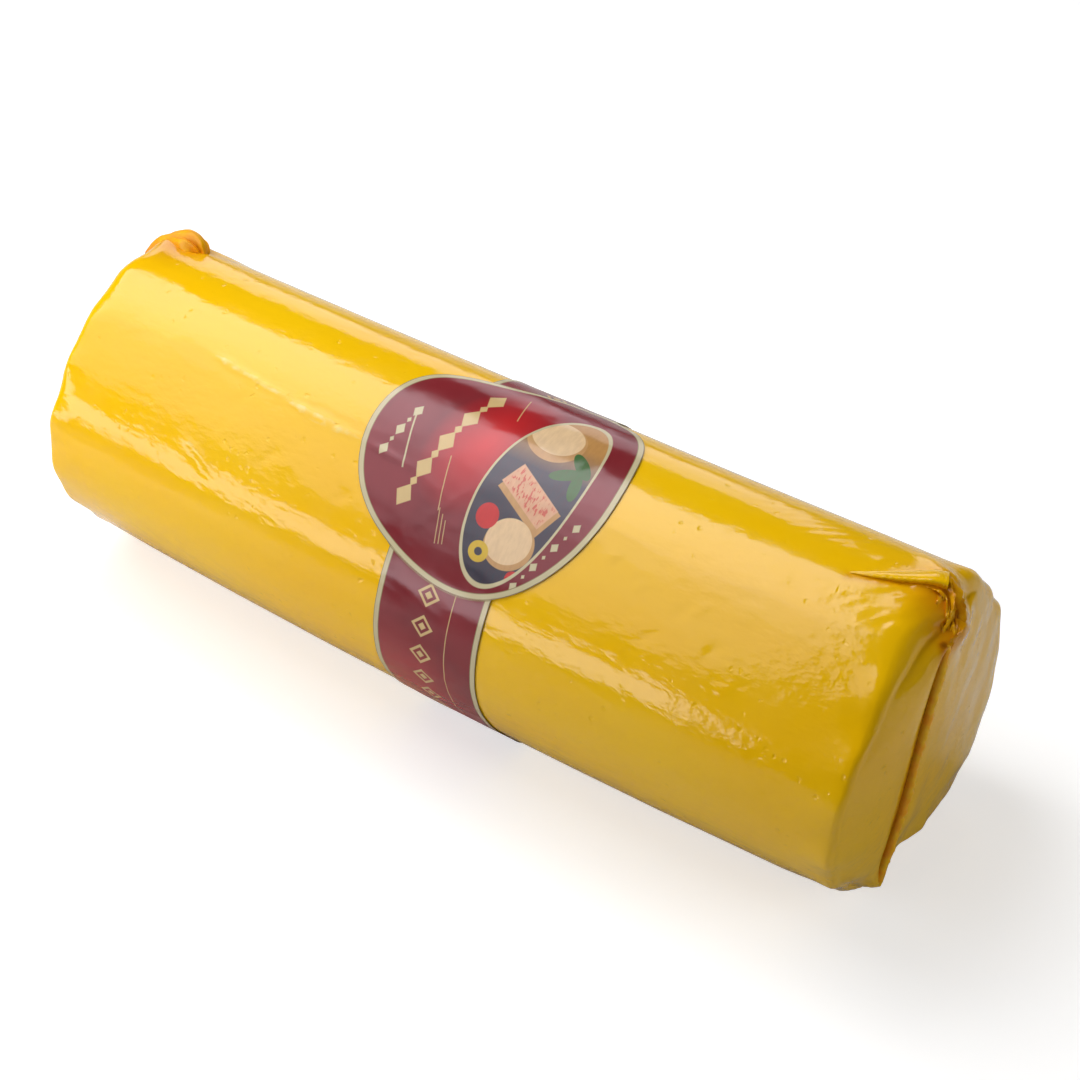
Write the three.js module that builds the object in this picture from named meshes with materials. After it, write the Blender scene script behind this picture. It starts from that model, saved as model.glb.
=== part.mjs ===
import * as THREE from 'three';

// A whole bar of provolone in tight glossy yellow film, resting on one long side,
// with a printed paper band round its middle.
// Millimetres. +X runs along the bar to its near end, +Z is up, and the origin
// is on the floor under the middle of the bar.

// the bar
const nearRim = 170; // from the middle to the rim of the end face at +X
const farRim = 172; // and to the other one
const barRadius = 59; // mean radius of the cross section
const barCentreHeight = 56.2;
const taperShare = 0.008; // share of the radius gained at +X and lost at -X
const barrelShare = 0.021; // share of the radius lost towards both ends
const bow = 3; // the middle lies this much further to -Y than the ends
const bowCentre = 1.2;
const squareness = 0.0334; // share of the radius in each lobe of the cross section
const squarenessTurn = -4.3; // degrees
const flattening = 0.0312;
const flatteningTurn = -0.6;
const threeSidedness = 0.0178;
const threeSidednessTurn = 35.2;
const settledHeight = 12; // the underside spreads against the floor below this height
const settledPower = 1.6;

// the ends
const rimRadius = 4;
const rimRadiusUpright = 10; // added at the top and the bottom of an end
const endBulge = 3.4;
const nearSlant = 0.012; // the end face at +X leans out at its top
const seamTilt = 12; // degrees from upright, the top leaning to +Y
const nearSeamY = -17;
const farSeamY = 3;
const seamCentreHeight = 60;
const seamShortening = 0.07; // share of the height lost where the film gathers to the seam
const seamValley = 4.2; // depth of the crease beside the seam
const finHalfThickness = 1.5;
const finHeight = 2.6;
const finLean = 1.6; // the fin is folded over to +Y
const fluteHeight = 0.9;
const fluteReach = 16; // how far the flutes of the ends run along the bar

// gathered film at the upper end of each seam, and the short tabs at the lower end
const gathers = [
  { at: [165, 4, 115], push: [1, 1, 6], spread: 5.5 },
  { at: [169, 0, 107], push: [4, 0, 2], spread: 5 },
  { at: [169, -25, 10], push: [2.5, 0, -3], spread: 5 },
  { at: [-158, 17, 113], push: [1, 2, 6], spread: 6 },
  { at: [-169, 18, 107], push: [-2, 2, 5], spread: 6 },
  { at: [-171, -7, 10], push: [-2.5, 0, -3], spread: 5 },
];

// raised pleats that run from the gathers along the top
const pleats = [
  { from: [139, -6], to: [166, 4], height: 2.6, halfWidth: 3.6 },
  { from: [148, 22], to: [166, 8], height: 1.6, halfWidth: 4 },
  { from: [-120, 14], to: [-158, 17], height: 2.4, halfWidth: 4.5 },
  { from: [-138, 36], to: [-158, 20], height: 1.6, halfWidth: 4 },
];

// the paper band
const bandStart = -10.7; // along X
const bandEnd = 32.4;
const shieldCentreX = 11;
const shieldCentreArc = 20.3; // along the surface from the top towards -Y
const shieldHalfLength = 48.3;
const shieldHalfArc = 45;
const shieldLobes = [ // shares of the shield's reach: cosine and sine, lobe by lobe
  [0.031, 0.012],
  [0.013, -0.056],
  [-0.055, -0.018],
  [-0.01, 0.016],
  [0.016, 0.005],
];
const shieldMean = 0.998;
const bandGap = 0.3;
const bandThickness = 0.4;
const bandRecess = 0.85; // the underside lies this much higher under the band
const recessMargin = 2.5;
const recessRamp = 2.5;

// fineness of the surfaces
const columns = 88; // round the bar
const bandColumns = 144; // round the band

const radians = THREE.MathUtils.degToRad;
const seamUp = new THREE.Vector2(Math.sin(radians(seamTilt)), Math.cos(radians(seamTilt)));
const seamAcross = new THREE.Vector2(seamUp.y, -seamUp.x);
const nearSeam = new THREE.Vector2(nearSeamY, seamCentreHeight);
const farSeam = new THREE.Vector2(farSeamY, seamCentreHeight);

// Radius of the cross section at an angle that turns from +Y to +Z.
function sectionRadius(angle) {
  const lobes = squareness * Math.cos(4 * (angle - radians(squarenessTurn)));
  const oval = flattening * Math.cos(2 * (angle - radians(flatteningTurn)));
  const corner = threeSidedness * Math.cos(3 * (angle - radians(threeSidednessTurn)));
  return barRadius * (1 + lobes - oval - corner);
}

// The underside spreads into a flat where it rests.
function settled(height) {
  if (height >= settledHeight) return height;
  const share = Math.max(height, 0) / settledHeight;
  const lowered = settledHeight * Math.pow(share, settledPower);
  return lowered < 0.12 ? 0 : lowered;
}

function recessHeight(x) {
  const before = bandStart - recessMargin - x;
  const after = x - bandEnd - recessMargin;
  const outside = Math.max(before, after, 0);
  return bandRecess * Math.max(0, 1 - outside / recessRamp);
}

// The bar tapers towards -X and is fullest in the middle.
function sideScale(x) {
  const share = x / nearRim;
  return 1 + taperShare * share - barrelShare * share * share;
}

// A point (y, z) of the bar's side at one place along it.
function sidePoint(x, angle, floorHeight) {
  const reach = (x > 0 ? nearRim : farRim) - fluteReach;
  const fluted = THREE.MathUtils.smoothstep(Math.abs(x), reach, reach + fluteReach);
  const phase = x > 0 ? 0.6 : 2.1;
  const wave = Math.cos(17 * angle + phase) + 0.7 * Math.cos(11 * angle + 3 * phase);
  const radius = sectionRadius(angle) * sideScale(x) + fluteHeight * fluted * wave * 0.6;
  const height = barCentreHeight + radius * Math.sin(angle);
  return new THREE.Vector2(radius * Math.cos(angle), Math.max(settled(height), floorHeight));
}

// Rounding of a rim: turn runs from 0 on the side to a quarter turn on the face.
function rimPoint(side, angle, turn) {
  const radius = rimRadius + rimRadiusUpright * Math.pow(Math.sin(angle), 6);
  const x = (side > 0 ? nearRim : -farRim) - side * radius * (1 - Math.sin(turn));
  const inset = (radius * (1 - Math.cos(turn))) / barRadius;
  const point = sidePoint(x, angle, 0);
  point.lerp(new THREE.Vector2(0, barCentreHeight), inset);
  return new THREE.Vector3(x, point.x, point.y);
}

// The end face: spread is 1 at its rim and 0 where the film meets in the seam.
function facePoint(side, angle, spread) {
  const rim = rimPoint(side, angle, Math.PI / 2);
  const seam = side > 0 ? nearSeam : farSeam;
  const offset = new THREE.Vector2(rim.y, rim.z).sub(seam);
  const gathered = 1 - seamShortening * Math.pow(1 - spread, 1.3);
  const along = offset.dot(seamUp) * gathered;
  const narrow = finHalfThickness / (barRadius - rimRadius);
  const across = offset.dot(seamAcross) * THREE.MathUtils.lerp(narrow, 1, spread);
  const point = seam.clone();
  point.addScaledVector(seamUp, along);
  point.addScaledVector(seamAcross, across);
  const rise = endBulge * (1 - Math.pow(spread, 2.2));
  const valley = seamValley * Math.exp(-Math.pow(spread / 0.12, 2));
  return new THREE.Vector3(rim.x + side * (rise - valley), point.x, point.y);
}

// The seam's fin stands on the face and leans over as it rises.
function finPoint(side, angle, rise) {
  const point = facePoint(side, angle, 0);
  const lean = finLean * rise * rise;
  point.y += seamAcross.x * lean;
  point.z += seamAcross.y * lean;
  point.x += side * finHeight * rise;
  return point;
}

// The rings of one half of the bar, from its middle to the crest of the fin.
function halfRings(side) {
  const rings = [];
  const edge = side > 0 ? bandEnd + recessMargin : -(bandStart - recessMargin);
  const places = [edge, edge + recessRamp, 62, 84, 104, 116, 123, 129, 134.5, 139.5, 144, 148, 152];
  for (const place of places) {
    const x = side * place;
    rings.push((angle) => {
      const point = sidePoint(x, angle, recessHeight(x));
      return new THREE.Vector3(x, point.x, point.y);
    });
  }
  for (const degrees of [5, 20, 35, 50, 65, 80]) {
    rings.push((angle) => rimPoint(side, angle, radians(degrees)));
  }
  for (const spread of [0.97, 0.85, 0.7, 0.55, 0.4, 0.26, 0.15, 0.07, 0]) {
    rings.push((angle) => facePoint(side, angle, spread));
  }
  rings.push((angle) => finPoint(side, angle, 0.6));
  rings.push((angle) => finPoint(side, angle, 1));
  return rings;
}

function distanceToSegment(point, from, to) {
  const run = to.clone().sub(from);
  const share = point.clone().sub(from).dot(run) / run.lengthSq();
  const held = THREE.MathUtils.clamp(share, 0, 1);
  return { gap: from.clone().addScaledVector(run, held).distanceTo(point), share: held };
}

// The bar is bowed a little, like a sausage, and its end at +X is slanted.
function bowed(point) {
  const share = point.x / nearRim;
  point.y += bowCentre - bow * (1 - share * share);
  const slanted = THREE.MathUtils.smoothstep(point.x, nearRim / 2, nearRim);
  point.x += nearSlant * slanted * (point.z - seamCentreHeight);
  return point;
}

// Adds the pleats and the gathered film to a point of the plain bar.
function crumpled(point) {
  const result = point.clone();
  if (point.z > barCentreHeight) {
    const plan = new THREE.Vector2(point.x, point.y);
    for (const pleat of pleats) {
      const from = new THREE.Vector2(...pleat.from);
      const to = new THREE.Vector2(...pleat.to);
      const { gap, share } = distanceToSegment(plan, from, to);
      result.z += pleat.height * share * (2 - share) * Math.exp(-Math.pow(gap / pleat.halfWidth, 2));
    }
  }
  for (const gather of gathers) {
    const gap = point.distanceTo(new THREE.Vector3(...gather.at));
    const weight = Math.exp(-Math.pow(gap / gather.spread, 2) / 2);
    result.addScaledVector(new THREE.Vector3(...gather.push), weight);
  }
  result.z = Math.max(result.z, 0);
  return bowed(result);
}

function makeBar() {
  const rings = [...halfRings(-1).reverse(), ...halfRings(1)];
  const segments = rings.length - 1;
  const geometry = new THREE.CylinderGeometry(1, 1, segments, columns, segments);
  const position = geometry.getAttribute('position');
  const crests = [
    new THREE.Vector3(),
    new THREE.Vector3(),
  ];
  for (let index = 0; index < columns; index += 1) {
    const angle = (index / columns) * 2 * Math.PI;
    crests[0].addScaledVector(crumpled(rings[0](angle)), 1 / columns);
    crests[1].addScaledVector(crumpled(rings[segments](angle)), 1 / columns);
  }
  for (let index = 0; index < position.count; index += 1) {
    const turn = Math.atan2(position.getX(index), position.getZ(index));
    const ring = Math.round(position.getY(index) + segments / 2);
    const onAxis = Math.hypot(position.getX(index), position.getZ(index)) < 0.5;
    const column = (Math.round((turn / (2 * Math.PI)) * columns) + columns) % columns;
    const angle = (column / columns) * 2 * Math.PI;
    const point = onAxis ? crests[ring === 0 ? 0 : 1] : crumpled(rings[ring](angle));
    position.setXYZ(index, point.x, point.y, point.z);
  }
  geometry.computeVertexNormals();
  return geometry;
}

// Arc length from the top of the bar for each column of the band, with -Y positive.
function bandAngles() {
  const steps = 1440;
  const arcs = [0];
  for (let step = 1; step <= steps; step += 1) {
    const before = sidePoint(bandStart, Math.PI / 2 + ((step - 1) / steps) * 2 * Math.PI, 0);
    const after = sidePoint(bandStart, Math.PI / 2 + (step / steps) * 2 * Math.PI, 0);
    arcs.push(arcs[step - 1] + before.distanceTo(after));
  }
  const around = arcs[steps];
  const angles = [];
  for (let column = 0; column < bandColumns; column += 1) {
    const arc = (column / bandColumns) * around;
    let step = arcs.findIndex((length) => length > arc) - 1;
    step += (arc - arcs[step]) / (arcs[step + 1] - arcs[step]);
    angles.push({
      angle: Math.PI / 2 + (step / steps) * 2 * Math.PI,
      arc: arc > around / 2 ? arc - around : arc,
    });
  }
  return angles;
}

// The shield's outline, an uneven oval, as places along X and round the bar.
function shieldOutline(steps) {
  return Array.from({ length: steps + 1 }, (_, step) => {
    const turn = (step / steps) * 2 * Math.PI;
    const lobes = shieldLobes.map(([cosine, sine], index) => (
      cosine * Math.cos((index + 1) * turn) + sine * Math.sin((index + 1) * turn)));
    const reach = shieldMean + lobes.reduce((sum, lobe) => sum + lobe, 0);
    return new THREE.Vector2(
      shieldCentreX + shieldHalfLength * reach * Math.cos(turn),
      shieldCentreArc + shieldHalfArc * reach * Math.sin(turn),
    );
  });
}

// Where the paper starts and ends along X at one arc length.
function paperEdges(outline, arc) {
  const places = [bandStart, bandEnd];
  for (let index = 1; index < outline.length; index += 1) {
    const before = outline[index - 1];
    const after = outline[index];
    const share = (arc - before.y) / (after.y - before.y);
    if (share >= 0 && share <= 1) places.push(THREE.MathUtils.lerp(before.x, after.x, share));
  }
  return [Math.min(...places), Math.max(...places)];
}

// A point of the band: lift is its distance from the surface of the bar.
function bandPoint(x, angle, lift) {
  const reach = radians(1.5);
  const before = sidePoint(x, angle - reach, bandRecess);
  const after = sidePoint(x, angle + reach, bandRecess);
  const tangent = after.sub(before).normalize();
  const point = sidePoint(x, angle, bandRecess);
  point.x += tangent.y * lift;
  point.y -= tangent.x * lift;
  return bowed(new THREE.Vector3(x, point.x, point.y));
}

function makeBand() {
  const geometry = new THREE.TorusGeometry(2, 1, 4, bandColumns);
  const position = geometry.getAttribute('position');
  const outline = shieldOutline(720);
  const places = bandAngles().map(({ angle, arc }) => ({ angle, edges: paperEdges(outline, arc) }));
  for (let index = 0; index < position.count; index += 1) {
    const column = index % (bandColumns + 1) % bandColumns;
    const corner = Math.floor(index / (bandColumns + 1)) % 4;
    const { angle, edges } = places[column];
    const x = corner === 0 || corner === 3 ? edges[0] : edges[1];
    const lift = corner < 2 ? bandGap + bandThickness : bandGap;
    const point = bandPoint(x, angle, lift);
    position.setXYZ(index, point.x, point.y, point.z);
  }
  geometry.computeVertexNormals();
  return geometry;
}

const film = new THREE.MeshStandardMaterial({ color: '#f0b400', roughness: 0.22, metalness: 0 });
const print = new THREE.MeshStandardMaterial({ color: '#7c2430', roughness: 0.28, metalness: 0 });

const bar = new THREE.Mesh(makeBar(), film);
bar.name = 'cheese_log';

const band = new THREE.Mesh(makeBand(), print);
band.name = 'label';

const provolone = new THREE.Group();
provolone.name = 'provolone_bar';
provolone.add(bar, band);

export default provolone;
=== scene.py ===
import bpy
import math
import random
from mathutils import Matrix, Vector, noise


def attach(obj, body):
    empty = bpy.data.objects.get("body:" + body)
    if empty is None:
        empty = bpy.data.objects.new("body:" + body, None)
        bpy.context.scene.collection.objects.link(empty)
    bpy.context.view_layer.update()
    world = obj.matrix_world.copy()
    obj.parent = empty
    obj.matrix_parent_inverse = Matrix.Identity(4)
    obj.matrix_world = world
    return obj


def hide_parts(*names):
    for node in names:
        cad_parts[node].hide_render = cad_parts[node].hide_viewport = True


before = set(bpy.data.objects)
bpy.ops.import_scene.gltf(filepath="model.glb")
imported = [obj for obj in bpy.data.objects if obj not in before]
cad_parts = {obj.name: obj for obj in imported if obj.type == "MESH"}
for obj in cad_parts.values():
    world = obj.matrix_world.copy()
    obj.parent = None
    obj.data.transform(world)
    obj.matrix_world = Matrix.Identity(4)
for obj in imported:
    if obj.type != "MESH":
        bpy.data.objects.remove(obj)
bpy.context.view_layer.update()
bpy.ops.object.select_all(action='DESELECT')
print("frame loaded")

mm = 0.001


# camera, at the angle of the photograph

cameraSettings = {
    "elevation": 40.928,  # degrees
    "yaw": 35.035,
    "distance": 793.7,  # mm
    "target": (15.65, 1.2, 66.45),
    "lens": 75.06,
    "sensor": 36,
}


def makeCamera(settings):
    yaw = math.radians(settings["yaw"])
    drop = math.radians(settings["elevation"])
    heading = Vector((-math.sin(yaw), math.cos(yaw), 0))
    forward = heading * math.cos(drop) - Vector((0, 0, math.sin(drop)))
    place = (Vector(settings["target"]) - forward * settings["distance"]) * mm
    bpy.ops.object.camera_add(location=place, rotation=(math.pi / 2 - drop, 0, yaw))
    camera = bpy.context.object
    camera.name = "camera"
    camera.data.sensor_width = settings["sensor"]
    camera.data.lens = settings["lens"]
    camera.data.dof.use_dof = False
    bpy.context.scene.camera = camera


makeCamera(cameraSettings)
print("camera placed")


# the bar's form, in mm, as in the CAD but for small changes at the ends

form = {
    "nearRim": 170,
    "farRim": 172,
    "radius": 59,
    "centreHeight": 56.2,
    "taper": 0.008,
    "barrel": 0.021,
    "bow": 3,
    "bowCentre": 1.2,
    "square": (0.0334, -4.3),  # share of the radius, turn in degrees
    "oval": (0.0312, -0.6),
    "corner": (0.0178, 35.2),
    "settledHeight": 12,
    "settledPower": 1.6,
    "settledFlat": 0.12,  # what is lower than this lies on the floor
    "rimRadiusUpright": 6,
    "rimInset": 2.2,  # the rims' creases lie this much further in than in the CAD
    "rimSharp": 3,
    "endBulge": 3.4,
    "nearSlant": 0.012,
    "footInset": 3.6,  # the near end's foot is drawn in and up a little
    "footLift": 3.2,
    "footFront": (-10, 8),  # along Y, from all of this to none of it
    "footHeights": (50, 30),  # how far up it is drawn in, and up
    "footStart": 138,
    "seamTilt": 12,
    "nearSeam": (-17, 60),
    "farSeam": (3, 60),
    "seamShortening": 0.07,
    "seamValley": 1.2,
    "seamHalfWidth": 1.5,
    "faceHalfWidth": 55,
    "fluteHeight": 0.54,
    "fluteReach": 16,
    "fluteWaves": (17, 11),  # how many there are round a rim
    "flutePhase": (0.6, 2.1),  # near and far
    "gatheredFrom": 110,  # no pleat or gather reaches nearer the middle
    "band": (-10.7, 32.4),  # the printed band along X
    "recess": 0.85,  # the underside is this much higher under the band
    "recessEdge": 2.5,
}

gathers = [  # place, push and spread
    ((165, 4, 115), (1, 1, 2), 5.5),
    ((169, 0, 107), (4, 0, 2), 5),
    ((169, -25, 10), (2.5, 0, -3), 5),
    ((166, 42, 27), (1.5, 3.5, -1), 14),
    ((167, 29, 8), (2, 4, 0), 13),
    ((-168, 18, 108), (-1.5, 2, 2.5), 7),
    ((-171, -7, 10), (-2.5, 0, -3), 5),
]

pleats = [  # from, to, height and half width, seen from above
    ((139, -6), (166, 4), 0.8, 3.6),
    ((148, 22), (166, 8), 1.6, 4),
    ((-120, 14), (-158, 17), 0.5, 4.5),
    ((-138, 36), (-158, 20), 1, 4),
]

seamTurn = math.radians(form["seamTilt"])
seamUp = Vector((math.sin(seamTurn), math.cos(seamTurn)))
seamAcross = Vector((seamUp.y, -seamUp.x))


def smoothStep(value, low, high):
    share = min(max((value - low) / (high - low), 0), 1)
    return share * share * (3 - 2 * share)


def nearest(place, start, end):  # gap to a straight stretch, and the share of it up to there
    away = place - Vector(start)
    run = Vector(end) - Vector(start)
    held = min(max(away.dot(run) / run.length_squared, 0), 1)
    return (away - run * held).length, held


def sectionRadius(angle):  # angle turns from +Y to +Z
    lobes, lobeTurn = form["square"]
    oval, ovalTurn = form["oval"]
    corner, cornerTurn = form["corner"]
    share = lobes * math.cos(4 * (angle - math.radians(lobeTurn)))
    share -= oval * math.cos(2 * (angle - math.radians(ovalTurn)))
    share -= corner * math.cos(3 * (angle - math.radians(cornerTurn)))
    return form["radius"] * (1 + share)


def settled(height):  # the underside spreads into a flat
    limit = form["settledHeight"]
    if height >= limit:
        return height
    lowered = limit * (max(height, 0) / limit) ** form["settledPower"]
    return 0 if lowered < form["settledFlat"] else lowered


def sidePoint(x, angle, floorHeight=0):
    share = x / form["nearRim"]
    scale = 1 + form["taper"] * share - form["barrel"] * share * share
    reach = (form["nearRim"] if x > 0 else form["farRim"]) - form["fluteReach"]
    fluted = smoothStep(abs(x), reach, reach + form["fluteReach"])
    phase = form["flutePhase"][0 if x > 0 else 1]
    many, few = form["fluteWaves"]
    wave = math.cos(many * angle + phase) + 0.7 * math.cos(few * angle + 3 * phase)
    radius = sectionRadius(angle) * scale + form["fluteHeight"] * fluted * wave
    height = form["centreHeight"] + radius * math.sin(angle)
    return Vector((radius * math.cos(angle), max(settled(height), floorHeight)))


def recessHeight(x):
    edge = form["recessEdge"]
    outside = max(form["band"][0] - edge - x, x - form["band"][1] - edge, 0)
    return form["recess"] * max(0, 1 - outside / edge)


def rimPlace(side):
    return (form["nearRim"] if side > 0 else form["farRim"]) - form["rimInset"]


def rimRadius(angle):
    return form["rimSharp"] + form["rimRadiusUpright"] * math.sin(angle) ** 6


def rimPoint(side, angle, turn):  # turn runs from 0 on the side to a quarter turn
    radius = rimRadius(angle)
    x = side * (rimPlace(side) - radius * (1 - math.sin(turn)))
    inset = radius * (1 - math.cos(turn)) / form["radius"]
    point = sidePoint(x, angle).lerp(Vector((0, form["centreHeight"])), inset)
    return Vector((x, point.x, point.y))


def facePoint(side, angle, spread):  # spread is 1 at the rim and 0 at the seam
    rim = rimPoint(side, angle, math.pi / 2)
    seam = Vector(form["nearSeam"] if side > 0 else form["farSeam"])
    offset = Vector((rim.y, rim.z)) - seam
    along = offset.dot(seamUp) * (1 - form["seamShortening"] * (1 - spread) ** 1.3)
    narrow = form["seamHalfWidth"] / form["faceHalfWidth"]
    across = offset.dot(seamAcross) * (narrow + (1 - narrow) * spread)
    point = seam + seamUp * along + seamAcross * across
    rise = (form["endBulge"] + form["rimInset"]) * (1 - spread ** 2.2)
    valley = form["seamValley"] * math.exp(-(spread / 0.12) ** 2)
    return Vector((rim.x + side * (rise - valley), point.x, point.y))


def bowed(point):
    share = point.x / form["nearRim"]
    point.y += form["bowCentre"] - form["bow"] * (1 - share * share)
    slanted = smoothStep(point.x, form["nearRim"] / 2, form["nearRim"])
    point.x += form["nearSlant"] * slanted * (point.z - form["nearSeam"][1])
    front = 1 - smoothStep(point.y, *form["footFront"])
    insetHeight, liftHeight = form["footHeights"]
    point.x -= form["footInset"] * front * slanted * max(0, 1 - point.z / insetHeight) ** 1.5
    lifted = front * smoothStep(point.x, form["footStart"], form["nearRim"])
    point.z += form["footLift"] * lifted * max(0, 1 - point.z / liftHeight)
    return point


def gathered(point):  # adds the pleats and the bunched film
    result = point.copy()
    if abs(point.x) > form["gatheredFrom"]:
        if point.z > form["centreHeight"]:
            for start, end, height, halfWidth in pleats:
                gap, held = nearest(point.xy, start, end)
                result.z += height * held * (2 - held) * math.exp(-(gap / halfWidth) ** 2)
        for place, push, spread in gathers:
            gap = (point - Vector(place)).length
            if gap < 4 * spread:
                result += Vector(push) * math.exp(-(gap / spread) ** 2 / 2)
    result.z = max(result.z, 0)
    return bowed(result)


# arc length round the bar from its top, positive towards the front

def makeArcs(steps):
    points = [sidePoint(10, math.pi / 2 + 2 * math.pi * step / steps) for step in range(steps + 1)]
    arcs = [0]
    for step in range(steps):
        arcs.append(arcs[-1] + (points[step + 1] - points[step]).length)
    return arcs


arcSteps = 1440
arcs = makeArcs(arcSteps)
girth = arcs[-1]


def arcAt(angle):  # from -girth / 2 under the bar to girth / 2
    turn = ((angle - math.pi / 2) / (2 * math.pi)) % 1 * arcSteps
    step = min(int(turn), arcSteps - 1)
    arc = arcs[step] + (arcs[step + 1] - arcs[step]) * (turn - step)
    return arc - girth if arc > girth / 2 else arc


def angleAt(arc):
    arc %= girth
    low, high = 0, arcSteps
    while high - low > 1:
        middle = (low + high) // 2
        if arcs[middle] > arc:
            high = middle
        else:
            low = middle
    step = low + (arc - arcs[low]) / (arcs[high] - arcs[low])
    return math.pi / 2 + 2 * math.pi * step / arcSteps


# the film's fine relief

relief = {
    "seed": 11,
    "sag": 0.13,  # mm, broad unevenness of the cheese under the film
    "ripple": 0.06,  # shrink ripples that run along the bar
    "pebble": 0.02,
    "dents": [  # x range, arc range, how many, radius, depth
        ((42, 150), (26, 62), 70, (0.7, 1.5), (-0.17, 0.1)),
        ((-112, -30), (33, 72), 26, (0.7, 1.6), (-0.2, 0.1)),
        ((-160, 155), (7, 15), 60, (0.6, 1.2), (-0.1, 0.08)),
        ((-150, 155), (92, 112), 70, (0.7, 1.6), (-0.14, 0.1)),
        ((-160, 160), (-22, 2), 50, (0.6, 1.3), (-0.1, 0.08)),
        ((-160, 160), (-150, -30), 200, (0.7, 1.7), (-0.18, 0.12)),
        ((-160, 160), (112, 150), 50, (0.7, 1.6), (-0.14, 0.1)),
    ],
    "placed": [  # x, arc, radius, depth
        (-89.5, 36.9, 2.2, -0.2), (-68.8, 49.9, 2.2, -0.28), (-59.6, 50, 2, 0.2),
        (-76, 47, 1.6, 0.18), (-35, 52, 1.8, -0.25), (143, -4, 1.5, 0.35),
        (66, 33, 1.4, 0.28), (79, 38, 1.3, 0.3), (96, 40, 1.8, -0.25), (101, 37, 1.4, 0.25),
        (111, 47, 2, -0.22), (58, 30, 1.3, 0.25), (88, 52, 1.7, -0.22), (119, 56, 1.7, 0.2),
    ],
    "creases": [  # points as x and arc, height, half width
        ([(-107.8, 26.1), (-95.2, 27.2), (-80.2, 28.5), (-65.2, 30.4), (-51.6, 30.5), (-36.8, 31.5)],
         0.7, 1),
        ([(-126, 22), (-118, 25), (-107.8, 26.1)], 0.14, 1.6),
        ([(-108, 57.6), (-98, 60.6), (-91.5, 63.6)], 0.5, 1.1),
        ([(-104, 61), (-96, 65), (-88, 68)], -0.35, 1.3),
        ([(-66, 31.5), (-58, 33), (-50, 32.4), (-42, 33.6)], 0.3, 0.8),
        ([(86, 28), (102, 30), (118, 34)], 0.12, 1.8),
        ([(-120, -60), (-60, -66), (0, -62)], 0.3, 1.1),
        ([(60, -80), (100, -86), (140, -84)], 0.3, 1.2),
    ],
    "knot": (171, 4),  # x and arc
    "knotRipple": 0.16,
    "knotPatches": [(122, -9, 17, 8, 1), (152, 10, 11, 9, 0.55)],  # x, arc, reach along and round, share
    "endWaves": [  # depth, least share, width, lean, length, seed
        (0.26, 0.2, 5.5, 0, 14, 4),
        (0.1, 0.2, 2.4, 0.05, 6, 8),
        (0.55, 0.4, 12, 0, 18, 2),
    ],
    "endFans": [(56, 0.9), (-52, 0.6)],  # place along the seam and depth
}


def makeDents(settings):
    random.seed(settings["seed"])
    dents = []
    for (startX, endX), (startArc, endArc), count, radii, depths in settings["dents"]:
        for _ in range(count):
            radius = random.uniform(*radii)
            depth = random.uniform(*depths) * random.uniform(0.4, 1)
            lean = random.uniform(-0.9, 0.5)
            stretch = random.uniform(1, 2.2)
            dents.append((random.uniform(startX, endX), random.uniform(startArc, endArc),
                          radius, depth, lean, stretch))
    for x, arc, radius, depth in settings["placed"]:
        dents.append((x, arc, radius, depth, -0.5, 1.5))
    shelves = {}
    for dent in dents:  # shelved by place along the bar, so that a point reads only a few
        for shelf in range(int((dent[0] - 8) // 4), int((dent[0] + 8) // 4) + 1):
            shelves.setdefault(shelf, []).append(dent)
    return shelves


dentShelves = makeDents(relief)


def creaseHeight(x, arc):
    height = 0
    for points, rise, halfWidth in relief["creases"]:
        if x < points[0][0] - 4 or x > points[-1][0] + 4:
            continue
        near = min(nearest(Vector((x, arc)), start, end)[0] for start, end in zip(points, points[1:]))
        if near < 4 * halfWidth:
            broken = 0.75 + 0.6 * noise.noise(Vector((x * 0.35, arc * 0.35, 7)))
            fade = smoothStep(x, points[0][0] - 3, points[0][0] + 5)
            fade *= 1 - smoothStep(x, points[-1][0] - 5, points[-1][0] + 3)
            height += rise * broken * fade * math.exp(-(near / halfWidth) ** 2)
    return height


def sideRelief(x, arc):
    value = relief["sag"] * noise.noise(Vector((x / 34, arc / 21, 3.3)))
    streak = noise.noise(Vector((x / 26, arc / 3.4, 9.1)))
    patch = smoothStep(noise.noise(Vector((x / 45, arc / 18, 1))), -0.2, 0.4)
    value += relief["ripple"] * streak * (0.35 + patch)
    value += relief["pebble"] * noise.noise(Vector((x / 3.2, arc / 2.6, 5)))
    for centreX, centreArc, radius, depth, lean, stretch in dentShelves.get(int(x // 4), ()):
        across = arc - centreArc
        if abs(across) < 8:
            along = x - centreX - lean * across
            size = (along / radius) ** 2 + (across / (radius * stretch)) ** 2
            if size < 9:
                value += depth * math.exp(-size)
    return value + creaseHeight(x, arc)


def ripplesByKnot(x, arc):  # short slanting ripples on the top before the near knot
    height = 0
    for centreX, centreArc, along, across, share in relief["knotPatches"]:
        height += share * math.exp(-((x - centreX) / along) ** 2 - ((arc - centreArc) / across) ** 2)
    stray = 3 * noise.noise(Vector((x / 9, arc / 9, 0)))
    return relief["knotRipple"] * height * math.sin((x * 0.8 + arc * 1.1) * 1.25 + stray)


def knotFan(x, arc):  # gathers that spread from the near knot
    fan = Vector((relief["knot"][0] - x, arc - relief["knot"][1]))
    if x < 120 or fan.length > 50:
        return 0
    folds = abs(noise.noise(Vector((math.atan2(fan.y, fan.x) * 5, fan.length / 14, 3))))
    return (0.5 - 2.6 * folds) * math.exp(-(fan.length / 14) ** 2)


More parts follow.
